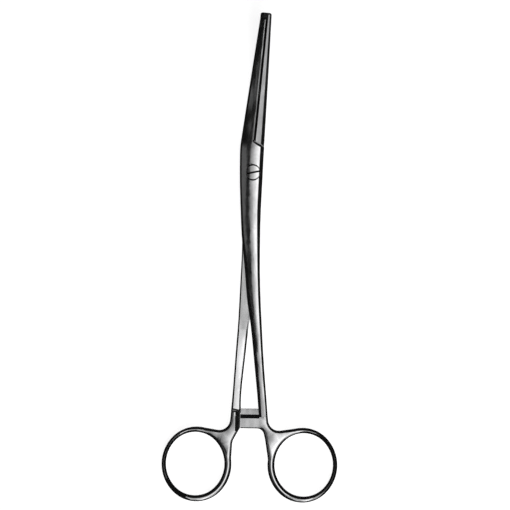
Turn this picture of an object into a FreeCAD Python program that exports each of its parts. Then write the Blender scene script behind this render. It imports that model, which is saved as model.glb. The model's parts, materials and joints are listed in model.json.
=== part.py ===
import math
import os

import FreeCAD
import Part

os.makedirs("parts", exist_ok=True)

# Driving dimensions, all in millimetres and degrees

# Lap joint
PLATE = 3.28
PLATE_GAP = 0.04
JOINT = 2 * PLATE + PLATE_GAP
TRIM = 0.08

# Closing line of the jaws as seen from the front
LEAN = 5.2
CLOSE_X = 0.30
CLOSE_Y = 14.6
FACE_GAP = 0.06
FACE_LEAN = 0.055

# Jaws
JAW_BASE = 12.4
JAW_RADIUS = 68.0
JAW_TURN = 32.0
JAW_END = 8.65
JAW_ROOT = 3.2
DEPTH_BASE = 6.50
DEPTH_TIP = 4.3
UPPER_WIDTH_BASE = 6.0
UPPER_WIDTH_TIP = 2.95
LOWER_WIDTH_BASE = 4.65
LOWER_WIDTH_TIP = 2.1
FACE_EASE = 0.52
EASE_SLOPE = 29.0
EDGE_SLOPE = 34.0
EDGE_SLOPE_TIP = 25.0
UPPER_EDGE = (0.95, 0.75)
LOWER_EDGE = (1.65, 0.85)
TIP_EDGE = 0.95
TIP_REACH = 1.9799

# Serrations across the jaw faces
PITCH = 1.1
TOOTH_HEIGHT = 0.30

# Interlocking teeth at the tips
PIN_WIDTH = 1.5
CAP_REACH = 3.1
CAP_HOOK = 2.9
CAP_EDGE = 1.35
CAP_GAP = 0.30
PIN_REACH = 1.6
PIN_HOOK = 1.2
PIN_CLEAR = 0.12

# Shoulders of the lap joint
SHOULDER_SLOPE = 30.5
SHOULDER_CLEAR = 0.12
SHOULDER_EASE = 0.85

# Joint screw
HEAD_R = 3.1
HEAD_HEIGHT = 1.45
SHAFT_R = 2.15
THREAD_R = 1.9
RUN_CLEAR = 0.04
SLOT_WIDTH = 0.85
SLOT_DEPTH = 0.85
HEAD_EASE = (0.66, 0.50)
SLOT_TURN = 12.0

# Finger rings
RING_X = 24.87
RING_Y = -133.75
HOLE_A = 13.4
HOLE_B = 14.53
BAND = 2.62
BAND_SHIFT = 0.60
RING_THICK = 4.5
RIM = ((1.30, 0.0), (0.98, 0.06), (0.62, 0.21), (0.28, 0.44), (0.0, 0.67))

# Ratchet
ARM_TOP = -108.3
FRONT_TOP = -110.95
FRONT_LOW = -117.3
ARM_OVERLAP = 4.2
ARM_REACH = 4.45
REAR_REACH = 4.6
RATCHET_MID = 2.25
RATCHET_GAP = 0.15
RATCHET_TOOTH = 0.42
RATCHET_PITCH = 1.25
RATCHET_COUNT = 3
ARM_BEVEL = (1.75, 1.12)
FRONT_RECESS = (-109.4, -118.6)
REAR_RECESS = (-107.0, -116.6)
RAMP_WIDE = 2.25
RAMP_FLOOR = 3.05
ARM_ROOM = 0.15
STEP_RISE = 0.42

# Shank of each half below the joint
SHANK_TOP = 4.48
SHANK_LOW = 0.08


def vec(x, y, z):
    return FreeCAD.Vector(x, y, z)


def polygon(points):
    return Part.makePolygon(points + [points[0]])


def prism(points, low, high):
    face = Part.Face(polygon([vec(x, y, low) for x, y in points]))
    return face.extrude(vec(0, 0, high - low))


def box(x0, x1, y0, y1, z0, z1):
    return Part.makeBox(x1 - x0, y1 - y0, z1 - z0, vec(x0, y0, z0))


# Face of a section: an edge bevel, a domed stretch and the other edge bevel
def face_points(left, right, level, way, shape):
    left_wide, left_drop, left_tilt, right_tilt, right_wide, right_drop = shape
    a = math.radians(left_tilt)
    b = math.radians(right_tilt)
    start = left + left_wide
    end = right - right_wide
    radius = (end - start) / (math.sin(a) + math.sin(b))
    middle = (b - a) / 2
    spots = [(start, a), (start + radius * (math.sin(a) + math.sin(middle)), middle), (end, b)]
    dome = [(x, level - way * radius * (1 - math.cos(turn))) for x, turn in spots]
    first = (left, dome[0][1] - way * left_drop)
    last = (right, dome[2][1] - way * right_drop)
    return [first] + dome + [last]


# Body of a half: cross sections one after another down the instrument
def body_section(y, left, right, low, high, top_shape, under_shape):
    top = [vec(x, y, z) for x, z in face_points(left, right, high, 1, top_shape)]
    under = [vec(x, y, z) for x, z in face_points(left, right, low, -1, under_shape)]
    edges = [
        Part.makeLine(under[0], top[0]),
        Part.makeLine(top[0], top[1]),
        Part.Arc(top[1], top[2], top[3]).toShape(),
        Part.makeLine(top[3], top[4]),
        Part.makeLine(top[4], under[4]),
        Part.makeLine(under[4], under[3]),
        Part.Arc(under[3], under[2], under[1]).toShape(),
        Part.makeLine(under[1], under[0]),
    ]
    return Part.Wire(edges)


def body(stations):
    wires = [body_section(*station) for station in stations]
    return Part.makeLoft(wires, True, False)


# Nearly flat face with equal small bevels on both edges
def flat_face(ease):
    return (ease, ease * 0.8, 1, 1, ease, ease * 0.8)


# Frame of the closing plane: along the jaw, across it, and up
def along():
    a = math.radians(LEAN)
    return vec(math.sin(a), math.cos(a), 0)


def across():
    a = math.radians(LEAN)
    return vec(math.cos(a), -math.sin(a), 0)


def jaw_length():
    return JAW_BASE + math.radians(JAW_TURN) * JAW_RADIUS + JAW_END


# Point of the jaw's middle line and its slope, by the length run from the joint
def jaw_line(s):
    turn = math.radians(JAW_TURN)
    arc = turn * JAW_RADIUS
    if s <= JAW_BASE:
        run, rise, slope = s, 0.0, 0.0
    elif s <= JAW_BASE + arc:
        slope = (s - JAW_BASE) / JAW_RADIUS
        run = JAW_BASE + JAW_RADIUS * math.sin(slope)
        rise = JAW_RADIUS * (1 - math.cos(slope))
    else:
        slope = turn
        rest = s - JAW_BASE - arc
        run = JAW_BASE + JAW_RADIUS * math.sin(turn) + rest * math.cos(turn)
        rise = JAW_RADIUS * (1 - math.cos(turn)) + rest * math.sin(turn)
    base = vec(CLOSE_X, CLOSE_Y, JOINT / 2)
    return base + along() * run + vec(0, 0, rise), slope


def jaw_up(slope):
    return along() * -math.sin(slope) + across() * FACE_LEAN + vec(0, 0, math.cos(slope))


def jaw_forward(slope):
    return along() * math.cos(slope) + vec(0, 0, math.sin(slope))


def jaw_point(s, side, up):
    centre, slope = jaw_line(s)
    return centre + across() * side + jaw_up(slope) * up


def depth_at(s):
    return DEPTH_BASE + (DEPTH_TIP - DEPTH_BASE) * max(s, 0.0) / jaw_length()


def width_at(s, base, tip):
    return base + (tip - base) * max(s, 0.0) / jaw_length()


# One section of a jaw: flat on the closing side, bevelled on the outer side
def jaw_section(s, sign, outline):
    return polygon([jaw_point(s, sign * side, up) for side, up in outline])


# Both faces of a jaw from points above the middle line
def both_faces(points):
    return points + [(side, -up) for side, up in reversed(points)]


def fall(run, slope):
    return run * math.tan(math.radians(slope))


def along_jaw(s, ends):
    return width_at(s, *ends)


# The side bevels grow flatter as the jaw turns up
def edge_fall(run, s):
    return fall(run, width_at(s, EDGE_SLOPE, EDGE_SLOPE_TIP))


def upper_jaw_section(s):
    half = depth_at(s) / 2
    w = width_at(s, UPPER_WIDTH_BASE, UPPER_WIDTH_TIP)
    edge = along_jaw(s, UPPER_EDGE)
    strip = FACE_EASE + 0.11 * w
    core = 0.50 * w
    at_strip = half - fall(strip - FACE_EASE, 4)
    at_core = at_strip - fall(core - strip, 12)
    at_edge = at_core - fall(w - edge - core, 23)
    points = [
        (0.0, half - fall(FACE_EASE, EASE_SLOPE)),
        (FACE_EASE, half),
        (strip, at_strip),
        (core, at_core),
        (w - edge, at_edge),
        (w, at_edge - edge_fall(edge, s)),
    ]
    return jaw_section(s, -1, both_faces(points))


def lower_jaw_section(s):
    half = depth_at(s) / 2
    w = width_at(s, LOWER_WIDTH_BASE, LOWER_WIDTH_TIP)
    edge = along_jaw(s, LOWER_EDGE)
    start = FACE_GAP + FACE_EASE
    at_edge = half - fall(w - edge - start, 14)
    points = [
        (FACE_GAP, half - fall(FACE_EASE, EASE_SLOPE)),
        (start, half),
        (w - edge, at_edge),
        (w, at_edge - edge_fall(edge, s)),
    ]
    return jaw_section(s, 1, both_faces(points))


def jaw_body(section, beyond=0.0):
    length = jaw_length()
    arc = math.radians(JAW_TURN) * JAW_RADIUS
    marks = [-JAW_ROOT, 0.0, JAW_BASE * 0.55, JAW_BASE]
    marks += [JAW_BASE + arc * i / 5 for i in range(1, 6)]
    marks += [JAW_BASE + arc + JAW_END * 0.5, length + beyond]
    return Part.makeLoft([section(s) for s in marks], True, False)


# Length of the rounded tip from the joint as seen from the front
def tip_run():
    turn = math.radians(JAW_TURN)
    return JAW_BASE + JAW_RADIUS * math.sin(turn) + JAW_END * math.cos(turn) + TIP_REACH


# The tip ends upright with rounded corners and a bevel all round its upper edge
def tip_round(shape):
    end = tip_run()
    crest = jaw_point(jaw_length(), 0, DEPTH_TIP / 2)
    base = vec(CLOSE_X, CLOSE_Y, 0)
    run = (crest - base).dot(along())
    top = crest.z + fall(end - TIP_EDGE - run, JAW_TURN)
    left = UPPER_WIDTH_TIP + 0.02
    right = LOWER_WIDTH_TIP + 0.02
    corners = [
        (-left - 0.9, end - 16, 0),
        (-left, end, 1.45),
        (right, end, 1.15),
        (right + 0.9, end - 16, 0),
    ]

    def outline(inset, z):
        wire = rounded(drawn_in(corners, inset), z)
        wire.rotate(vec(0, 0, 0), vec(0, 0, 1), -LEAN)
        wire.translate(base)
        return wire

    levels = [(-3, 0), (top - fall(TIP_EDGE, EDGE_SLOPE), 0), (top, TIP_EDGE)]
    mask = Part.makeLoft([outline(inset, z) for z, inset in levels], True, True)
    spare = box(-9, 9, end - 10, end + 6, -2, top + 9)
    spare.rotate(vec(0, 0, 0), vec(0, 0, 1), -LEAN)
    spare.translate(base)
    return shape.cut(spare.cut(mask))


# Transverse grooves that leave a row of sharp ridges on the face
def grooves(sign, face, shift):
    count = int((jaw_length() - 4.6) / PITCH)
    cutters = []
    for i in range(count):
        s = 1.6 + (i + 0.5 + shift) * PITCH
        centre, slope = jaw_line(s)
        f = jaw_forward(slope)
        u = jaw_up(slope)
        mouth = PITCH / 2 + 0.02
        floor = centre + across() * (sign * (face + TOOTH_HEIGHT))
        lip = centre + across() * (sign * (face - 0.02))
        corners = [lip - f * mouth, lip + f * mouth, floor]
        bottom = [p - u * 6 for p in corners]
        cutters.append(Part.Face(polygon(bottom)).extrude(u * 12))
    return cutters


# Flat piece in the plane of the tip, its outline given along and across the jaw
def tip_plate(sign, outline, width, offset):
    points = [jaw_point(s, sign * side, offset - width / 2) for s, side in outline]
    slope = math.radians(JAW_TURN)
    return Part.Face(polygon(points)).extrude(jaw_up(slope) * width)


# Tooth of the upper jaw: a nib standing out past the end of the jaw
def pin():
    length = jaw_length()
    outer = UPPER_WIDTH_TIP - 0.45
    end = length + PIN_REACH
    outline = [
        (length - 2.6, outer),
        (end - 0.5, outer),
        (end, outer - 0.6),
        (end, 0.5 - PIN_HOOK),
        (end - 0.5, -PIN_HOOK),
        (length + 0.14, -PIN_HOOK),
        (length + 0.12, 0.20),
        (length - 2.6, 0.20),
    ]
    return tip_plate(-1, outline, PIN_WIDTH, 0.0)


# Teeth of the lower jaw: it runs on past the other and hooks over its end above and below the pin
def cap(jaw):
    length = jaw_length()
    start = length + CAP_GAP
    end = length + CAP_REACH + 1.5
    side = PIN_WIDTH + 2 * PIN_CLEAR
    slot = [(length, -9), (end + 1, -9), (end + 1, 9), (length, 9)]
    jaw = jaw.cut(tip_plate(1, slot, side, 0.0))
    hook = FACE_GAP + FACE_EASE
    outline = [(start, hook), (end, hook), (end, -CAP_HOOK - 0.1), (start, -CAP_HOOK - 0.1)]
    wing = (DEPTH_TIP - side) / 2
    middle = (side + wing) / 2
    half = DEPTH_TIP / 2
    wings = tip_plate(1, outline, wing, middle).fuse(tip_plate(1, outline, wing, -middle))
    deep = fall(CAP_EDGE, EDGE_SLOPE_TIP)
    slope = math.radians(JAW_TURN)
    left = -UPPER_WIDTH_TIP
    bevels = []
    for face in (1, -1):
        corners = [(left + CAP_EDGE, half), (left - CAP_EDGE, half - 2 * deep), (left - CAP_EDGE, half + 1)]
        points = [jaw_point(start - 0.3, side, face * up) for side, up in corners]
        bevels.append(Part.Face(polygon(points)).extrude(jaw_forward(slope) * 11))
    return jaw.fuse(wings.cut(bevels))


# The shoulder line falls from the closing line toward the outer edge
def shoulder(sign, clear):
    fall = math.tan(math.radians(SHOULDER_SLOPE))
    top = CLOSE_Y + clear
    start = CLOSE_X
    far = 12.0
    inner = (start - sign * 2.0, top)
    outer = (start + sign * far, top - far * fall)
    return [inner, (start, top), outer]


# Zone above the shoulder and outward of the closing line
def jaw_zone(sign, clear, low, high):
    a = across()
    f = along()
    line = shoulder(sign, -clear)
    start = (line[1][0] - sign * clear, line[1][1])
    top = (start[0] + f.x * 90, start[1] + f.y * 90)
    far = (top[0] + sign * 25 * a.x, top[1])
    low_far = (line[2][0], line[2][1])
    side = (far[0] + sign * 4, low_far[1])
    return prism([start, top, far, side, low_far], low, high)


# Zone of the joint below the shoulder
def plate_zone(sign, clear, low, high):
    line = shoulder(sign, clear)
    back = line[2][0]
    points = [line[0], line[1], line[2], (back, -40), (line[0][0] - sign * 12, -40)]
    points.append((line[0][0] - sign * 12, line[0][1]))
    return prism(points, low, high)


# Closed outline of straight sides with every corner turned to its own radius
def rounded(corners, z):
    points = [vec(x, y, z) for x, y, r in corners]
    radii = [r for x, y, r in corners]
    edges = []
    last = None
    first = None
    for i in range(len(points)):
        here = points[i]
        back = (points[i - 1] - here).normalize()
        ahead = (points[(i + 1) % len(points)] - here).normalize()
        half = back.getAngle(ahead) / 2
        reach = radii[i] / math.tan(half)
        start = here + back * reach
        end = here + ahead * reach
        if last is not None:
            edges.append(Part.makeLine(last, start))
        if radii[i] > 0:
            rise = radii[i] / math.sin(half) - radii[i]
            crown = here + (back + ahead).normalize() * rise
            edges.append(Part.Arc(start, crown, end).toShape())
        if first is None:
            first = start
        last = end
    edges.append(Part.makeLine(last, first))
    return Part.Wire(edges)


# The same outline drawn in by a distance on every side
def drawn_in(corners, inset):
    count = len(corners)
    turn = 0.0
    for i in range(count):
        x0, y0, r0 = corners[i - 1]
        x1, y1, r1 = corners[i]
        turn += x0 * y1 - x1 * y0
    way = 1.0 if turn > 0 else -1.0
    sides = []
    for i in range(count):
        x0, y0, r0 = corners[i]
        x1, y1, r1 = corners[(i + 1) % count]
        size = math.hypot(x1 - x0, y1 - y0)
        dx, dy = (x1 - x0) / size, (y1 - y0) / size
        sides.append((x0 - dy * way * inset, y0 + dx * way * inset, dx, dy))
    result = []
    for i in range(count):
        ax, ay, adx, ady = sides[i - 1]
        bx, by, bdx, bdy = sides[i]
        cross = adx * bdy - ady * bdx
        t = ((bx - ax) * bdy - (by - ay) * bdx) / cross
        radius = corners[i][2]
        if radius > 0:
            radius -= inset if cross * way > 0 else -inset
        result.append((ax + adx * t, ay + ady * t, radius))
    return result


# Flat piece with a rounded rim above and below
def rimmed(outline, low, high, grow=1):
    levels = [(low + drop, inset) for inset, drop in RIM]
    levels += [(high - drop, inset) for inset, drop in reversed(RIM)]
    return Part.makeLoft([outline(inset * grow, z) for z, inset in levels], True, True)


# Oval of four arcs that run into each other, long axis along the instrument
def oval(x, y, half_width, half_length, z):
    shift = (half_length - half_width) / (2 - math.sqrt(2))
    side = (half_length - shift) / math.sqrt(2)
    rise = shift + side

    def arc(a, b, c):
        spots = [vec(x + dx, y + dy, z) for dx, dy in (a, b, c)]
        return Part.Arc(*spots).toShape()

    edges = [
        arc((-side, rise), (0, half_length), (side, rise)),
        arc((side, rise), (half_width, 0), (side, -rise)),
        arc((side, -rise), (0, -half_length), (-side, -rise)),
        arc((-side, -rise), (-half_width, 0), (-side, rise)),
    ]
    return Part.Wire(edges)


# Web that carries the finger ring on the end of the shank
def web(sign, neck, outer_top, outer_corner, inner):
    top, low, far = -108.8, -139.0, 22.4
    corners = [
        (neck, top, 0),
        (outer_top, top, 0),
        (outer_corner, -118.98, 5.0),
        (far, -116.92, 0),
        (far, low, 0),
        (9.4, low, 0),
        (8.43, -131.4, 9.0),
    ]
    corners += inner
    corners = [(sign * x, y, r) for x, y, r in corners]
    plate = rimmed(lambda inset, z: rounded(drawn_in(corners, inset), z), 0, RING_THICK)
    wide = RIM[0][0] + 0.05
    hole = Part.Face(oval(sign * RING_X, RING_Y, HOLE_A + wide, HOLE_B + wide, -1))
    return plate.cut(hole.extrude(vec(0, 0, RING_THICK + 2)))


# Finger ring: an oval hoop, a little stouter on the side of the web
def ring(sign):
    centre = sign * (RING_X - BAND_SHIFT)

    def outer(inset, z):
        return oval(centre, RING_Y - 0.15, HOLE_A + BAND - inset, HOLE_B + BAND - inset, z)

    def inner(inset, z):
        return oval(sign * RING_X, RING_Y, HOLE_A + inset, HOLE_B + inset, z)

    return rimmed(outer, 0, RING_THICK).cut(rimmed(inner, 0, RING_THICK))


# Ratchet arms: flat bars across the gap with saw teeth on the sides that meet
def front_arm(web_and_arm):
    low = RATCHET_MID + RATCHET_GAP / 2 + RATCHET_TOOTH
    wide, drop = ARM_BEVEL
    top = FRONT_TOP
    slope = [(top + 1, RING_THICK - drop - drop / wide), (top - wide, RING_THICK), (top + 1, RING_THICK)]
    cutter = Part.Face(polygon([vec(-20, y, z) for y, z in slope])).extrude(vec(24.3, 0, 0))
    room = box(-ARM_REACH - 3, 4.1, FRONT_LOW - 1, FRONT_TOP + 1, -1, low)
    spare = box(-ARM_REACH - 3, -ARM_REACH, FRONT_LOW - 1, FRONT_TOP + 1, -1, RING_THICK + 1)
    arm = web_and_arm.cut([cutter, room, spare])
    under = (FRONT_TOP - ARM_OVERLAP + 0.15, FRONT_TOP - 0.15)
    return arm.fuse(arm_teeth(-ARM_REACH, 1, under[0], under[1], low, -1))


def rear_arm():
    high = RATCHET_MID - RATCHET_GAP / 2 - RATCHET_TOOTH
    low_edge = FRONT_TOP - ARM_OVERLAP
    outline = [(REAR_REACH, ARM_TOP), (REAR_REACH, low_edge), (-5.6, low_edge), (-5.6, ARM_TOP)]
    bar = prism(outline, 0.06, high)
    over = ARM_TOP + 1
    turn = FRONT_TOP - 0.1
    slope = [(over, high - fall(over - turn, 7)), (turn, high), (over, high)]
    edge = [(over, high - 1.35), (ARM_TOP - 0.45, high - 0.36), (over, high - 0.36)]
    cutters = []
    for profile in (slope, edge):
        wire = polygon([vec(-4.2, y, z) for y, z in profile])
        cutters.append(Part.Face(wire).extrude(vec(40, 0, 0)))
    teeth = arm_teeth(REAR_REACH, -1, low_edge + 0.15, FRONT_TOP - 0.15, high, 1)
    return bar.cut(cutters).fuse(teeth)


def arm_teeth(start, direction, low_y, high_y, level, rise):
    teeth = []
    for i in range(RATCHET_COUNT):
        x = start + direction * (0.1 + i * RATCHET_PITCH)
        tip = x + direction * 0.15
        end = x + direction * RATCHET_PITCH * 0.96
        sink = level - rise * 0.2
        crest = level + rise * RATCHET_TOOTH
        points = [(x, sink), (x, level), (tip, crest), (end, level), (end, sink)]
        wire = polygon([vec(px, low_y, pz) for px, pz in points])
        teeth.append(Part.Face(wire).extrude(vec(0, high_y - low_y, 0)))
    return teeth


# Relief in a shank where the other half's arm runs across it
def recess(sign, top, end, low, high):
    points = [
        (sign * 3.0, top - 1.1),
        (sign * 7.2, top),
        (sign * 8.1, top - 2.0),
        (sign * 7.7, end + 2.6),
        (sign * 6.6, end),
        (sign * 3.0, end),
    ]
    return prism(points, low, high)


# The relief seen in front: its floor slopes down to the gap like a filed ramp
def ramp(sign, top, end, floor, crest):
    inner = ARM_REACH + ARM_ROOM
    outer = inner + RAMP_WIDE
    under = RATCHET_MID - RATCHET_GAP / 2
    ends = [(inner - 3, under), (inner, under), (inner, floor), (outer, crest)]
    ends += [(outer, crest + 2), (inner - 3, crest + 2)]
    wire = polygon([vec(sign * x, end, z) for x, z in ends])
    block = Part.Face(wire).extrude(vec(0, top - end, 0))
    slant = [(0, top - 1.6), (12, top + 0.6), (12, top + 6), (0, top + 6)]
    return block.cut(prism([(sign * x, y) for x, y in slant], under - 1, crest + 3))


# Bevel along a line on a face: it falls away from the side that stays
def edge_cut(start, run, length, inward, wide, slope, out):
    rise = vec(0, 0, 1)
    sink = fall(wide, slope)
    corners = [
        start + inward * wide,
        start + inward * (wide + 1.0) + rise * fall(1.0, slope),
        start - inward * out + rise * fall(1.0, slope),
        start - inward * out - rise * (sink + fall(out, slope)),
        start - rise * sink,
    ]
    return Part.Face(polygon(corners)).extrude(run * length)


# Bevel along the shoulder of a plate, sloping down with its domed face
def shoulder_bevel(sign, high, way):
    turn = math.radians(SHOULDER_SLOPE)
    run = vec(sign * math.cos(turn), -math.sin(turn), -0.09)
    inward = vec(-sign * math.sin(turn), -math.cos(turn), 0)
    start = vec(CLOSE_X - sign * 0.45, CLOSE_Y + 0.265, JOINT + 0.03)
    cutter = edge_cut(start, run, 9, inward, SHOULDER_EASE, EASE_SLOPE, 0.05)
    if way < 0:
        cutter = cutter.mirror(vec(0, 0, JOINT / 2), vec(0, 0, 1))
    return cutter


# Shank and joint plate of the upper half before anything is cut from them
def upper_shank():
    top = JOINT
    low = PLATE + PLATE_GAP - TRIM
    mate = flat_face(0.15)
    plate = (0.85, 0.60, 22, 11, 1.75, 1.12)
    stations = [
        (17.6, -4.80, 5.30, low, 5.75, plate, mate),
        (12.6, -5.95, 5.02, low, top, plate, mate),
        (6.0, -6.14, 4.68, low, top, plate, mate),
        (-2.0, -6.08, 4.40, low, top, plate, mate),
        (-18.0, -5.48, 3.75, low, top, (0.95, 0.65, 21, 11, 1.65, 1.05), mate),
        (-31.0, -4.70, 3.60, low, top, (1.15, 0.76, 19, 11, 1.35, 0.88), mate),
        (-45.0, -3.20, 3.68, low, top, (1.40, 0.92, 16, 11, 1.15, 0.75), flat_face(0.2)),
        (-58.0, -2.00, 4.15, low, top, (1.45, 0.95, 14, 10, 1.10, 0.72), flat_face(0.3)),
        (-70.0, -0.25, 4.85, low, top - 0.10, (1.45, 0.95, 13, 10, 1.05, 0.70), flat_face(0.5)),
        (-82.0, 1.10, 5.62, 2.45, 6.15, (1.40, 0.92, 13, 10, 1.00, 0.66), flat_face(0.7)),
        (-94.0, 2.35, 6.55, 1.00, 5.20, (1.35, 0.90, 12, 9, 0.95, 0.62), flat_face(0.8)),
        (-106.0, 3.55, 7.62, SHANK_LOW, SHANK_TOP, (1.30, 0.80, 7, 6, 0.85, 0.56), flat_face(0.85)),
        (-112.0, 4.15, 8.04, SHANK_LOW, RING_THICK + 0.03, (1.2, 0.7, 2, 2, 0.8, 0.53), flat_face(0.85)),
    ]
    return body(stations)


# Upper half: lies in front, holds the screw head, jaw on the left, ring on the right
def upper_half():
    shank = upper_shank()
    shank = shank.cut(box(-30, 30, -72, 40, -5, PLATE + PLATE_GAP))
    shank = shank.cut(jaw_zone(1, SHOULDER_CLEAR, -5, 20))
    shank = shank.cut(box(-30, 30, CLOSE_Y + 1.2, 40, JOINT - 0.45, 20))
    jaw = jaw_body(upper_jaw_section)
    jaw = jaw.cut(plate_zone(-1, SHOULDER_CLEAR, -5, PLATE + PLATE_GAP))
    jaw = tip_round(jaw.fuse(pin()))
    neck = 5.0
    inner = [
        (6.95, -122.0, 10.0),
        (5.75, FRONT_LOW, 3.2),
        (-ARM_REACH - 1.8, FRONT_LOW, 0),
        (-ARM_REACH - 1.8, FRONT_TOP, 0),
        (neck, FRONT_TOP, 0),
    ]
    handle = front_arm(web(1, neck, 7.80, 8.85, inner))
    half = shank.fuse([jaw, ring(1), handle])
    half = half.cut(grooves(-1, -TOOTH_HEIGHT / 2, 0.0))
    half = half.cut(recess(1, *REAR_RECESS, -1, RATCHET_MID + RATCHET_GAP / 2))
    half = half.cut(shoulder_bevel(1, JOINT, 1))
    head = HEAD_R + RUN_CLEAR
    seat = JOINT - HEAD_HEIGHT - 0.03
    half = half.cut(Part.makeCylinder(head, HEAD_HEIGHT + 5, vec(0, 0, seat)))
    wide, sink = HEAD_EASE
    half = half.cut(Part.makeCone(head, head + 2 * wide, 2 * sink, vec(0, 0, JOINT - sink)))
    half = half.cut(Part.makeCylinder(SHAFT_R + RUN_CLEAR, JOINT, vec(0, 0, 1)))
    return half


# Lower half: lies behind, is tapped for the screw, jaw on the right, ring on the left
def lower_half():
    low = -TRIM
    top = PLATE + TRIM
    mate = flat_face(0.15)
    plate = (1.20, 1.02, 1, 1, 3.90, 1.05)
    top_end = RING_THICK + STEP_RISE
    stations = [
        (17.6, -5.20, 4.60, 0.85, top, mate, plate),
        (12.6, -5.80, 4.88, low, top, mate, plate),
        (6.0, -5.96, 4.56, low, top, mate, plate),
        (-2.0, -5.90, 4.30, low, top, mate, plate),
        (-18.0, -5.30, 3.62, low, top, mate, (1.20, 1.00, 1, 1, 3.60, 1.00)),
        (-31.0, -4.62, 3.20, low, top, (0.40, 0.26, 1, 1, 0.2, 0.16), (1.2, 1.0, 1, 1, 3.2, 0.95)),
        (-45.0, -4.98, 2.10, low, top, (0.70, 0.46, 1, 1, 0.3, 0.24), (1.2, 1.0, 1, 1, 2.6, 0.85)),
        (-58.0, -5.50, 0.80, low, top, (0.75, 0.49, 1, 1, 0.6, 0.45), (1.2, 1.0, 1, 1, 2.0, 0.80)),
        (-70.0, -6.05, -1.05, low, top, (0.75, 0.49, 1, 4, 0.85, 0.56), (1.1, 0.9, 1, 1, 1.6, 0.80)),
        (-82.0, -6.88, -2.28, low, 3.70, (0.75, 0.49, -1, 9, 0.85, 0.56), (1.0, 0.8, 1, 1, 1.2, 0.80)),
        (-94.0, -7.62, -3.55, low, 4.30, (0.75, 0.49, -1, 9, 0.80, 0.53), flat_face(0.9)),
        (-106.0, -8.48, -4.28, SHANK_LOW, top_end, (0.85, 0.56, 0, 7, 0.80, 0.53), flat_face(0.85)),
        (-112.0, -8.88, -4.38, SHANK_LOW, top_end, (0.95, 0.62, 1, 5, 0.80, 0.53), flat_face(0.85)),
    ]
    shank = body(stations)
    shank = shank.cut(box(-30, 30, -130, 40, -5, 0))
    shank = shank.cut(box(-30, 30, -72, 40, PLATE, PLATE + 8))
    shank = shank.cut(jaw_zone(-1, SHOULDER_CLEAR, -5, 20))
    across_shank = vec(1, -0.14, 0).normalize()
    step_end = vec(-10.5, -108.3, RING_THICK + 0.03)
    inward = vec(0.14, 1, 0).normalize()
    shank = shank.cut(edge_cut(step_end, across_shank, 8, inward, 0.0, 39, 6))
    jaw = jaw_body(lower_jaw_section, CAP_REACH + 1.5)
    jaw = jaw.cut(plate_zone(1, SHOULDER_CLEAR, PLATE, 20))
    jaw = tip_round(cap(jaw))
    neck = 5.7
    inner = [(8.0, -123.3, 6.0), (4.5, -117.0, 2.0), (4.38, -110.4, 0), (neck, -110.4, 0)]
    half = shank.fuse([jaw, ring(-1), web(-1, neck, 8.62, 9.65, inner), rear_arm()])
    half = half.cut(grooves(1, FACE_GAP - TOOTH_HEIGHT / 2, 0.5))
    half = half.cut(ramp(-1, *FRONT_RECESS, RAMP_FLOOR, RING_THICK))
    half = half.cut(shoulder_bevel(-1, 0, -1))
    half = half.cut(Part.makeCylinder(THREAD_R, JOINT, vec(0, 0, -1)))
    return half


# Joint screw: slotted head ground flush with the upper half, threaded end flush underneath
def joint_screw():
    head = Part.makeCylinder(HEAD_R, HEAD_HEIGHT + 1, vec(0, 0, JOINT - HEAD_HEIGHT))
    head = head.common(upper_shank())
    shaft = Part.makeCylinder(SHAFT_R, JOINT - HEAD_HEIGHT - PLATE, vec(0, 0, PLATE))
    thread = Part.makeCylinder(THREAD_R, PLATE, vec(0, 0, 0))
    screw = head.fuse([shaft, thread])
    slot = box(-HEAD_R - 1, HEAD_R + 1, -SLOT_WIDTH / 2, SLOT_WIDTH / 2, JOINT - SLOT_DEPTH, JOINT + 1)
    slot.rotate(vec(0, 0, 0), vec(0, 0, 1), SLOT_TURN)
    return screw.cut(slot)


def report(name, shape):
    box_ = shape.BoundBox
    print(name, shape.isValid(), len(shape.Solids), round(shape.Volume, 1), box_)


parts = {
    "upper_half": upper_half(),
    "lower_half": lower_half(),
    "joint_screw": joint_screw(),
}
for name, shape in parts.items():
    solid = shape.removeSplitter()
    report(name, solid)
    solid.exportStep("parts/" + name + ".step")
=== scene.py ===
import json
import math

import bmesh
import bpy
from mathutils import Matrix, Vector
from bpy.props import FloatProperty, FloatVectorProperty, PointerProperty
from bpy.types import Operator, Panel, PropertyGroup

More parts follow.
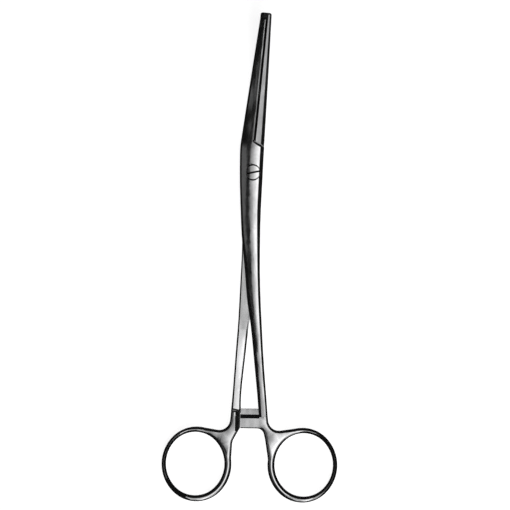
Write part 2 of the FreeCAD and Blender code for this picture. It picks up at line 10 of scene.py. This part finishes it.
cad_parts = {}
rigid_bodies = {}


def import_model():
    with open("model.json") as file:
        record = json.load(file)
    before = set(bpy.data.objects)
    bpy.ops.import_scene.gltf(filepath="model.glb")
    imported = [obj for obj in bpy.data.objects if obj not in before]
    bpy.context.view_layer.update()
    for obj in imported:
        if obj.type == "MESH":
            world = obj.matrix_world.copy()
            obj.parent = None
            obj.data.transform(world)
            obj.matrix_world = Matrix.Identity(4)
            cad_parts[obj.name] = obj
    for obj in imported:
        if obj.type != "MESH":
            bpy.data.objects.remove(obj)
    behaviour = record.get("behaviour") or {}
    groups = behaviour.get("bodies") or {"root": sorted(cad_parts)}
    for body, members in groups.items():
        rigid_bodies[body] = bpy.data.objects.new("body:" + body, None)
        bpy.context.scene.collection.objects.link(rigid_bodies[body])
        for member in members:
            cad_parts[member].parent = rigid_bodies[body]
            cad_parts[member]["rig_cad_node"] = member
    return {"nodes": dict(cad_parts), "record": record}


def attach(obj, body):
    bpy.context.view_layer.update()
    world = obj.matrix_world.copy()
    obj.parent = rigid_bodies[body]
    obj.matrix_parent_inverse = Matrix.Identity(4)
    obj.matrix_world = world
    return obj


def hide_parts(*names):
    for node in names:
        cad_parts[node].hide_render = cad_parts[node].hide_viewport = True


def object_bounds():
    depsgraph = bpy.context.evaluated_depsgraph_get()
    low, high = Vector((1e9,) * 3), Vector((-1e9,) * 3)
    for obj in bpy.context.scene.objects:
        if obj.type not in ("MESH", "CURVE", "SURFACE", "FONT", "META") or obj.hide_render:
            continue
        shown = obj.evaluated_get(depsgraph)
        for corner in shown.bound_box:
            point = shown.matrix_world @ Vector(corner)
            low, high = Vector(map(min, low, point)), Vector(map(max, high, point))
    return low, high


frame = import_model()
cad_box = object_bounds()

bl_info = {
    "name": "Hysterectomy Forceps",
    "version": (1, 0, 0),
    "blender": (4, 5, 0),
    "location": "View3D > Sidebar > Forceps",
    "description": "Finishes the steel of a ring-handled forceps and sets up its stage",
    "category": "Object",
}


# Long softbox over the forceps, in strips: left and right edge, far and near end, glow
SOFTBOX = (
    (-1.30, -0.60, -0.70, 0.17, 0.15),
    (-0.24, -0.14, -0.90, 0.17, 0.40),
    (-0.44, -0.14, -2.71, -0.90, 0.85),
    (-0.14, -0.06, -2.71, 0.17, 0.50),
    (-0.06, 0.06, -2.71, 0.17, 0.68),
    (0.06, 0.22, -2.71, 0.17, 1.20),
    (0.22, 0.50, -2.71, 0.17, 1.85),
    (0.50, 0.90, -2.71, 0.17, 0.60),
    (0.90, 1.60, -1.50, 0.17, 0.22),
    (0.90, 1.60, -3.40, -1.50, 0.55),
)
SOFTBOX_HEIGHT = 1.2
ROOM_GLOW = 0.008

# The floor lies just under the forceps, and the camera looks straight down on it
FLOOR_LEVEL = -0.0002
CAMERA_PLACE = (0.001346, -0.03781)
CAMERA_ROLL = math.radians(0.72)
FRAME_LEVEL = 0.0035
SENSOR_WIDTH = 36.0

# Points of a piece nearer than this are one point
MERGE_REACH = 0.000001

# Roughness of the painted shade, the near-black colour painted into the gaps, the closing line,
# the screw's seat and its slot
PAINTED_SHADE_ROUGHNESS = 0.75

# How thick the painted shade lies on the serrated faces, against a filled gap
SERRATION_PAINTED_SHADE = 0.72

# The jaws start here, and their lengthwise facets stay crisp from this angle up
JAW_START = 0.0165
JAW_CRISP = math.radians(7.2)

# The closing line of the jaws leans to the right, and their tips turn up
CLOSING_LEAN = math.radians(5.2)
CLOSING_START = Vector((0.0003, 0.0146, 0.0033))
CLOSING_BEVEL = 0.0008
BEVEL_FACING = 0.3
SERRATION_FACING = 0.62
TIP_TURN = math.radians(32.0)
TIP_RUN = 0.05577
TIP_RISE = 0.01492
ALONG = Vector((math.sin(CLOSING_LEAN), math.cos(CLOSING_LEAN), 0.0))
ACROSS = Vector((math.cos(CLOSING_LEAN), -math.sin(CLOSING_LEAN), 0.0))
UP = Vector((0.0, 0.0, 1.0))
TIP_MIDDLE = CLOSING_START + ALONG * TIP_RUN + UP * TIP_RISE
TIP_AHEAD = ALONG * math.cos(TIP_TURN) + UP * math.sin(TIP_TURN)
TIP_RAISED = UP * math.cos(TIP_TURN) - ALONG * math.sin(TIP_TURN)

# Crown of the hook over the tip: it falls to the left of its middle
HOOK_MIDDLE = 0.0006
HOOK_UNDER = 0.00087
HOOK_THICK = 0.00128
HOOK_FALL = math.tan(math.radians(13.0))
HOOK_CLOSE = 0.00018
HOOK_START = 0.0002
HOOK_SKIN = 0.0001
HOOK_EDGE = (0.00025, 0.00035)

# The gap between the hook and the end of the far jaw, as distances past the tip's middle
GAP_START = -0.0001
GAP_END = 0.0004
GAP_FACING = 0.6

# Screw head, its seat and the floor of its slot
HEAD_RADIUS = 0.00316
SEAT_RADIUS = 0.0041
SEAT_LEVEL = 0.0050
SEAT_FACING = 0.3
SLOT_LEVEL = 0.0060

# Finger rings, rubbed bright by handling: where a ring ends round its middle
RING_MIDDLE = (0.02487, -0.13375)
RING_REACH = 0.0185
RING_FADE = 0.003
RING_SHINE = 0.35

# The web between a ring and its shank keeps more of its form, and the rim inside it less so
WEB_START = 0.75
WEB_FADE = 0.45
WEB_KEPT = 0.75
RIM_REACH = 0.0149
RIM_FADE = 0.001
RIM_KEPT = 0.6

# Crown of a ring: its top, how deep its rounding goes, and the fall that is added to it
RING_TOP = 0.0045
RING_DROP = 0.0007
RING_CROWN = 0.00021
RING_EASE = 0.00013


class ForcepsSteel(PropertyGroup):
    colour: FloatVectorProperty(
        name="Steel colour",
        description="Colour of the bare stainless steel",
        subtype="COLOR",
        size=4,
        min=0.0,
        max=1.0,
        default=(0.60, 0.60, 0.605, 1.0),
    )
    screw_colour: FloatVectorProperty(
        name="Screw colour",
        description="Colour of the joint screw's steel",
        subtype="COLOR",
        size=4,
        min=0.0,
        max=1.0,
        default=(0.64, 0.64, 0.64, 1.0),
    )
    # Painted shade: the near-black colour painted where shade falls, in the gaps, the closing
    # line, the screw's seat and its slot
    painted_shade_colour: FloatVectorProperty(
        name="Film colour",
        description="Colour of the dark film that stays in gaps and in the screw's slot",
        subtype="COLOR",
        size=4,
        min=0.0,
        max=1.0,
        default=(0.018, 0.017, 0.016, 1.0),
    )
    polish_low: FloatProperty(
        name="Smoothest",
        description="Roughness where the satin finish is worn smooth",
        default=0.12,
        min=0.0,
        max=1.0,
    )
    polish_high: FloatProperty(
        name="Roughest",
        description="Roughness of the fresh satin finish",
        default=0.23,
        min=0.0,
        max=1.0,
    )
    grain_depth: FloatProperty(
        name="Grain depth",
        description="Depth of the fine lengthwise polishing marks",
        default=0.000004,
        min=0.0,
        precision=7,
        unit="LENGTH",
    )
    wave_depth: FloatProperty(
        name="Wave depth",
        description="Depth of the slow waves that hand polishing leaves in the faces",
        default=0.00022,
        min=0.0,
        precision=6,
        unit="LENGTH",
    )
    round_angle: FloatProperty(
        name="Round below",
        description="Faces that meet at less than this angle shade as one curve",
        default=math.radians(12.6),
        min=0.0,
        subtype="ANGLE",
    )


class ForcepsStage(PropertyGroup):
    floor_size: FloatProperty(
        name="Floor size",
        description="Side of the square floor",
        default=6.0,
        min=0.5,
        unit="LENGTH",
    )
    floor_colour: FloatVectorProperty(
        name="Floor colour",
        description="Colour of the plain pale floor",
        subtype="COLOR",
        size=4,
        min=0.0,
        max=1.0,
        default=(0.90, 0.90, 0.90, 1.0),
    )
    floor_glow: FloatProperty(
        name="Floor white",
        description="White added to the floor where the camera and the steel see it",
        default=0.82,
        min=0.0,
        max=1.0,
    )
    camera_distance: FloatProperty(
        name="Camera distance",
        description="Height of the camera above the floor",
        default=1.6,
        min=0.2,
        unit="LENGTH",
    )
    frame_width: FloatProperty(
        name="Frame width",
        description="Width of floor that the picture takes in",
        default=0.2338,
        min=0.01,
        unit="LENGTH",
    )


def add_node(tree, kind, **values):
    node = tree.nodes.new(kind)
    for name, value in values.items():
        setattr(node, name, value)
    return node


# Fine lengthwise polishing marks, slow waves and the cloudy change of polish between them
def polish_group():
    name = "Satin polish"
    if name in bpy.data.node_groups:
        return bpy.data.node_groups[name]
    tree = bpy.data.node_groups.new(name, "ShaderNodeTree")
    face = tree.interface
    face.new_socket(name="Vector", in_out="INPUT", socket_type="NodeSocketVector")
    low = face.new_socket(name="Smoothest", in_out="INPUT", socket_type="NodeSocketFloat")
    high = face.new_socket(name="Roughest", in_out="INPUT", socket_type="NodeSocketFloat")
    # Roughness that the painted shade asks for, which the satin finish never falls below
    painted_shade_dulling = face.new_socket(name="Grime", in_out="INPUT", socket_type="NodeSocketFloat")
    low.default_value = 0.12
    high.default_value = 0.23
    painted_shade_dulling.default_value = 0.0
    face.new_socket(name="Roughness", in_out="OUTPUT", socket_type="NodeSocketFloat")
    face.new_socket(name="Grain", in_out="OUTPUT", socket_type="NodeSocketFloat")
    face.new_socket(name="Wave", in_out="OUTPUT", socket_type="NodeSocketFloat")
    source = add_node(tree, "NodeGroupInput")
    result = add_node(tree, "NodeGroupOutput")
    stretch = add_node(tree, "ShaderNodeMapping")
    stretch.inputs["Scale"].default_value = (5200.0, 160.0, 5200.0)
    grain = add_node(tree, "ShaderNodeTexNoise")
    grain.inputs["Scale"].default_value = 1.0
    grain.inputs["Detail"].default_value = 3.0
    cloud = add_node(tree, "ShaderNodeTexNoise")
    cloud.inputs["Scale"].default_value = 190.0
    cloud.inputs["Detail"].default_value = 4.0
    ease = add_node(tree, "ShaderNodeMapping")
    ease.inputs["Scale"].default_value = (170.0, 70.0, 170.0)
    wave = add_node(tree, "ShaderNodeTexNoise")
    wave.inputs["Scale"].default_value = 1.0
    wave.inputs["Detail"].default_value = 1.0
    blend = add_node(tree, "ShaderNodeMath", operation="MULTIPLY_ADD")
    blend.inputs[1].default_value = 0.45
    spread = add_node(tree, "ShaderNodeMapRange")
    spread.inputs["From Min"].default_value = 0.42
    spread.inputs["From Max"].default_value = 1.02
    dull = add_node(tree, "ShaderNodeMath", operation="MAXIMUM")
    link = tree.links.new
    link(source.outputs["Vector"], stretch.inputs["Vector"])
    link(source.outputs["Vector"], ease.inputs["Vector"])
    link(stretch.outputs["Vector"], grain.inputs["Vector"])
    link(ease.outputs["Vector"], wave.inputs["Vector"])
    link(source.outputs["Vector"], cloud.inputs["Vector"])
    link(grain.outputs["Fac"], blend.inputs[0])
    link(cloud.outputs["Fac"], blend.inputs[2])
    link(blend.outputs[0], spread.inputs["Value"])
    link(source.outputs["Smoothest"], spread.inputs["To Min"])
    link(source.outputs["Roughest"], spread.inputs["To Max"])
    link(spread.outputs["Result"], dull.inputs[0])
    link(source.outputs["Grime"], dull.inputs[1])
    link(dull.outputs[0], result.inputs["Roughness"])
    link(grain.outputs["Fac"], result.inputs["Grain"])
    link(wave.outputs["Fac"], result.inputs["Wave"])
    return tree


# Steel whose colour is painted near-black, as painted shade, on the faces that the piece marks
# for it
def steel_material(name, colour, steel):
    material = bpy.data.materials.new(name)
    material.use_nodes = True
    tree = material.node_tree
    tree.nodes.clear()
    output = add_node(tree, "ShaderNodeOutputMaterial")
    shader = add_node(tree, "ShaderNodeBsdfPrincipled")
    place = add_node(tree, "ShaderNodeTexCoord")
    polish = add_node(tree, "ShaderNodeGroup", node_tree=polish_group())
    polish.inputs["Smoothest"].default_value = steel.polish_low
    polish.inputs["Roughest"].default_value = steel.polish_high
    # Painted shade: this attribute mixes the colour towards near-black in gaps and hollows where
    # shade falls
    painted_shade = add_node(tree, "ShaderNodeAttribute", attribute_name="painted_shade")
    painted_shade_mix = add_node(tree, "ShaderNodeMix", data_type="RGBA")
    painted_shade_mix.inputs["A"].default_value = colour
    painted_shade_mix.inputs["B"].default_value = steel.painted_shade_colour
    dull = add_node(tree, "ShaderNodeMath", operation="MULTIPLY")
    dull.inputs[1].default_value = PAINTED_SHADE_ROUGHNESS
    bright = add_node(tree, "ShaderNodeAttribute", attribute_name="bright")
    shine = add_node(tree, "ShaderNodeMapRange")
    shine.inputs["To Min"].default_value = 1.0
    shine.inputs["To Max"].default_value = RING_SHINE
    rubbed = add_node(tree, "ShaderNodeMath", operation="MULTIPLY")
    wave = add_node(tree, "ShaderNodeBump")
    wave.inputs["Distance"].default_value = steel.wave_depth
    wave.inputs["Strength"].default_value = 1.0
    bump = add_node(tree, "ShaderNodeBump")
    bump.inputs["Distance"].default_value = steel.grain_depth
    bump.inputs["Strength"].default_value = 1.0
    shader.inputs["Metallic"].default_value = 1.0
    link = tree.links.new
    link(place.outputs["Object"], polish.inputs["Vector"])
    link(painted_shade.outputs["Fac"], painted_shade_mix.inputs["Factor"])
    link(painted_shade.outputs["Fac"], dull.inputs[0])
    link(dull.outputs[0], polish.inputs["Grime"])
    link(painted_shade_mix.outputs["Result"], shader.inputs["Base Color"])
    link(bright.outputs["Fac"], shine.inputs["Value"])
    link(polish.outputs["Roughness"], rubbed.inputs[0])
    link(shine.outputs["Result"], rubbed.inputs[1])
    link(rubbed.outputs[0], shader.inputs["Roughness"])
    link(polish.outputs["Wave"], wave.inputs["Height"])
    link(polish.outputs["Grain"], bump.inputs["Height"])
    link(wave.outputs["Normal"], bump.inputs["Normal"])
    link(bump.outputs["Normal"], shader.inputs["Normal"])
    link(shader.outputs["BSDF"], output.inputs["Surface"])
    return material


def deselect_all():
    for item in bpy.context.view_layer.objects:
        item.select_set(False)


def body_named(node):
    for body, nodes in frame["record"]["behaviour"]["bodies"].items():
        if node in nodes:
            return body
    raise ValueError("no body carries " + node)


def beside_closing(centre):
    side = (centre - CLOSING_START).dot(ACROSS)
    return centre.y > CLOSING_START.y and abs(side) < CLOSING_BEVEL


# Narrow bevel beside the closing line of the jaws, where shade is painted
def in_closing_line(centre, normal):
    facing = abs(normal.dot(ACROSS))
    return beside_closing(centre) and BEVEL_FACING < facing < SERRATION_FACING


# Serrated faces of the jaws, with shade painted between their ridges
def in_serrations(centre, normal):
    return beside_closing(centre) and abs(normal.dot(ACROSS)) >= SERRATION_FACING


# Faces that meet where the hook passes over the end of the far jaw, where shade is painted
def in_hook_gap(centre, normal):
    ahead = (centre - TIP_MIDDLE).dot(TIP_AHEAD)
    return GAP_START < ahead < GAP_END and abs(normal.dot(TIP_AHEAD)) > GAP_FACING


# Sunk ring round the head of the screw, where shade is painted
def in_seat(centre, normal):
    on_ring = HEAD_RADIUS < math.hypot(centre.x, centre.y) < SEAT_RADIUS
    inward = normal.x * centre.x + normal.y * centre.y < 0.0
    return on_ring and inward and centre.z > SEAT_LEVEL and normal.z > SEAT_FACING


# Faces of the screw below the slot's floor level, where shade is painted into the slot
def in_slot(centre, normal):
    return centre.z < SLOT_LEVEL


# Each test comes with how thick the painted shade lies on the faces that it names
def mark_painted_shade(piece, tests):
    mesh = piece.data
    painted_shade = mesh.attributes.new("painted_shade", "FLOAT", "FACE")
    for face in mesh.polygons:
        for test, thick in tests:
            if test(face.center, face.normal):
                painted_shade.data[face.index].value = thick


def ramp(value, low=0.0):
    return min(max(value, low), 1.0)


# How much of a place belongs to a ring: less on the web that joins it to the shank
def in_ring(place):
    side = RING_MIDDLE[0] - abs(place.x)
    ahead = place.y - RING_MIDDLE[1]
    away = math.hypot(side, ahead)
    share = ramp((RING_REACH - away) / RING_FADE)
    web = ramp(((side + ahead) / away - WEB_START) / WEB_FADE)
    beyond = ramp((away - RIM_REACH) / RIM_FADE, RIM_KEPT)
    return share * (1.0 - WEB_KEPT * web * beyond)


def mark_rings(piece):
    mesh = piece.data
    bright = mesh.attributes.new("bright", "FLOAT", "POINT")
    for vert in mesh.vertices:
        bright.data[vert.index].value = in_ring(vert.co)


# The rings' crown falls faster beside its crest than the solid's
def crown_ring(piece):
    for vert in piece.data.vertices:
        fall = RING_CROWN * in_ring(vert.co)
        drop = RING_TOP - vert.co.z
        if 0.0 < drop < RING_DROP:
            vert.co.z -= fall * (1.0 - math.exp(-drop / RING_EASE))


# The hook's face is crowned within the forged length, and its edge lies close to the far jaw
def crown_hook(piece):
    for vert in piece.data.vertices:
        place = vert.co - TIP_MIDDLE
        ahead = place.dot(TIP_AHEAD)
        height = place.dot(TIP_RAISED) - HOOK_UNDER
        side = HOOK_MIDDLE - place.dot(ACROSS)
        if ahead > HOOK_START and height > HOOK_SKIN and side > 0.0:
            vert.co -= TIP_RAISED * (side * HOOK_FALL * min(height / HOOK_THICK, 1.0))
        if HOOK_EDGE[0] < ahead < HOOK_EDGE[1] and height > -HOOK_SKIN and side > 0.0:
            vert.co -= TIP_AHEAD * HOOK_CLOSE
        vert.co.y = min(vert.co.y, cad_box[1][1])


def keep_crisp(piece):
    mesh = bmesh.new()
    mesh.from_mesh(piece.data)
    for edge in mesh.edges:
        on_jaw = min(vert.co.y for vert in edge.verts) > JAW_START
        if on_jaw and len(edge.link_faces) == 2 and edge.calc_face_angle() > JAW_CRISP:
            edge.smooth = False
    mesh.to_mesh(piece.data)
    mesh.free()


# The forged piece with its loose triangles joined, so that its curves shade round
def finished_piece(node, name, angle, material, painted_shade_tests):
    deselect_all()
    source = frame["nodes"][node]
    piece = source.copy()
    piece.data = source.data.copy()
    piece.name = name
    piece.parent = None
    del piece["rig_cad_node"]
    bpy.context.scene.collection.objects.link(piece)
    piece.select_set(True)
    bpy.context.view_layer.objects.active = piece
    bpy.ops.object.mode_set(mode="EDIT")
    bpy.ops.mesh.select_all(action="SELECT")
    bpy.ops.mesh.remove_doubles(threshold=MERGE_REACH)
    bpy.ops.object.mode_set(mode="OBJECT")
    bpy.ops.mesh.customdata_custom_splitnormals_clear()
    if node == "lower_half":
        crown_hook(piece)
    bpy.ops.object.shade_smooth_by_angle(angle=angle)
    keep_crisp(piece)
    crown_ring(piece)
    piece.data.materials.clear()
    piece.data.materials.append(material)
    mark_painted_shade(piece, painted_shade_tests)
    mark_rings(piece)
    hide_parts(node)
    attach(piece, body_named(node))
    return piece


class FORCEPS_OT_halves(Operator):
    """Give both forged halves their satin stainless steel"""

    bl_idname = "forceps.halves"
    bl_label = "Finish the halves"

    def execute(self, context):
        steel = context.scene.forceps_steel
        angle = steel.round_angle
        material = steel_material("Satin stainless", steel.colour, steel)
        # Shade is painted into the closing line, between the serrations, into the gap under the
        # hook and, on the upper half, into the screw's seat
        jaws = [(in_closing_line, 1.0), (in_serrations, SERRATION_PAINTED_SHADE), (in_hook_gap, 1.0)]
        upper = jaws + [(in_seat, 1.0)]
        finished_piece("upper_half", "upper_half_steel", angle, material, upper)
        finished_piece("lower_half", "lower_half_steel", angle, material, jaws)
        return {"FINISHED"}


class FORCEPS_OT_screw(Operator):
    """Give the joint screw its turned and ground steel"""

    bl_idname = "forceps.screw"
    bl_label = "Finish the screw"

    def execute(self, context):
        steel = context.scene.forceps_steel
        material = steel_material("Screw steel", steel.screw_colour, steel)
        # Shade is painted into the screw's slot
        slot = [(in_slot, 1.0)]
        finished_piece("joint_screw", "joint_screw_steel", steel.round_angle, material, slot)
        return {"FINISHED"}


class FORCEPS_OT_stage(Operator):
    """Lay the pale floor, hang the soft lamps and set the camera"""

    bl_idname = "forceps.stage"
    bl_label = "Set the stage"

    def lamp(self, name, place, width, depth, power):
        data = bpy.data.lights.new(name, "AREA")
        data.shape = "RECTANGLE"
        data.size = width
        data.size_y = depth
        data.energy = power
        lamp = bpy.data.objects.new(name, data)
        bpy.context.scene.collection.objects.link(lamp)
        lamp.location = place
        return lamp

    def execute(self, context):
        stage = context.scene.forceps_stage
        deselect_all()
        bpy.ops.mesh.primitive_plane_add(size=stage.floor_size, location=(0.0, 0.0, FLOOR_LEVEL))
        floor = context.active_object
        floor.name = "floor"
        paper = bpy.data.materials.new("Pale floor")
        paper.use_nodes = True
        tree = paper.node_tree
        shader = tree.nodes["Principled BSDF"]
        shader.inputs["Base Color"].default_value = stage.floor_colour
        shader.inputs["Roughness"].default_value = 0.9
        shader.inputs["Specular IOR Level"].default_value = 0.2
        shader.inputs["Emission Color"].default_value = (1.0, 1.0, 1.0, 1.0)
        path = add_node(tree, "ShaderNodeLightPath")
        seen = add_node(tree, "ShaderNodeMath", operation="MAXIMUM")
        through = add_node(tree, "ShaderNodeMath", operation="MAXIMUM")
        level = add_node(tree, "ShaderNodeMath", operation="MULTIPLY")
        level.inputs[1].default_value = stage.floor_glow
        tree.links.new(path.outputs["Is Camera Ray"], seen.inputs[0])
        tree.links.new(path.outputs["Is Glossy Ray"], seen.inputs[1])
        tree.links.new(seen.outputs[0], through.inputs[0])
        tree.links.new(path.outputs["Is Transmission Ray"], through.inputs[1])
        tree.links.new(through.outputs[0], level.inputs[0])
        tree.links.new(level.outputs[0], shader.inputs["Emission Strength"])
        floor.data.materials.append(paper)

        world = bpy.data.worlds.new("Studio")
        context.scene.world = world
        world.use_nodes = True
        back = world.node_tree.nodes["Background"]
        back.inputs["Color"].default_value = (1.0, 1.0, 1.0, 1.0)
        back.inputs["Strength"].default_value = ROOM_GLOW

        for left, right, far, near, glow in SOFTBOX:
            width = right - left
            length = near - far
            place = ((left + right) / 2, (far + near) / 2, SOFTBOX_HEIGHT)
            self.lamp("softbox strip", place, width, length, glow * math.pi * width * length)

        data = bpy.data.cameras.new("camera")
        camera = bpy.data.objects.new("camera", data)
        context.scene.collection.objects.link(camera)
        data.sensor_width = SENSOR_WIDTH
        data.lens = SENSOR_WIDTH * (stage.camera_distance - FRAME_LEVEL) / stage.frame_width
        data.clip_start = 0.01
        data.clip_end = 20.0
        camera.location = (*CAMERA_PLACE, stage.camera_distance)
        camera.rotation_euler = (0.0, 0.0, CAMERA_ROLL)
        context.scene.camera = camera
        return {"FINISHED"}


class FORCEPS_PT_sidebar(Panel):
    bl_idname = "FORCEPS_PT_sidebar"
    bl_label = "Forceps"
    bl_space_type = "VIEW_3D"
    bl_region_type = "UI"
    bl_category = "Forceps"

    def draw(self, context):
        for group in (context.scene.forceps_steel, context.scene.forceps_stage):
            for name in group.__annotations__:
                self.layout.prop(group, name)
        for operator in (FORCEPS_OT_halves, FORCEPS_OT_screw, FORCEPS_OT_stage):
            self.layout.operator(operator.bl_idname)


CLASSES = (
    ForcepsSteel,
    ForcepsStage,
    FORCEPS_OT_halves,
    FORCEPS_OT_screw,
    FORCEPS_OT_stage,
    FORCEPS_PT_sidebar,
)


def register():
    for item in CLASSES:
        bpy.utils.register_class(item)
    bpy.types.Scene.forceps_steel = PointerProperty(type=ForcepsSteel)
    bpy.types.Scene.forceps_stage = PointerProperty(type=ForcepsStage)


def unregister():
    del bpy.types.Scene.forceps_stage
    del bpy.types.Scene.forceps_steel
    for item in reversed(CLASSES):
        bpy.utils.unregister_class(item)


def main():
    register()
    bpy.context.scene.view_settings.view_transform = "Standard"
    bpy.ops.forceps.stage()
    bpy.ops.forceps.halves()
    bpy.ops.forceps.screw()


if __name__ == "__main__":
    main()
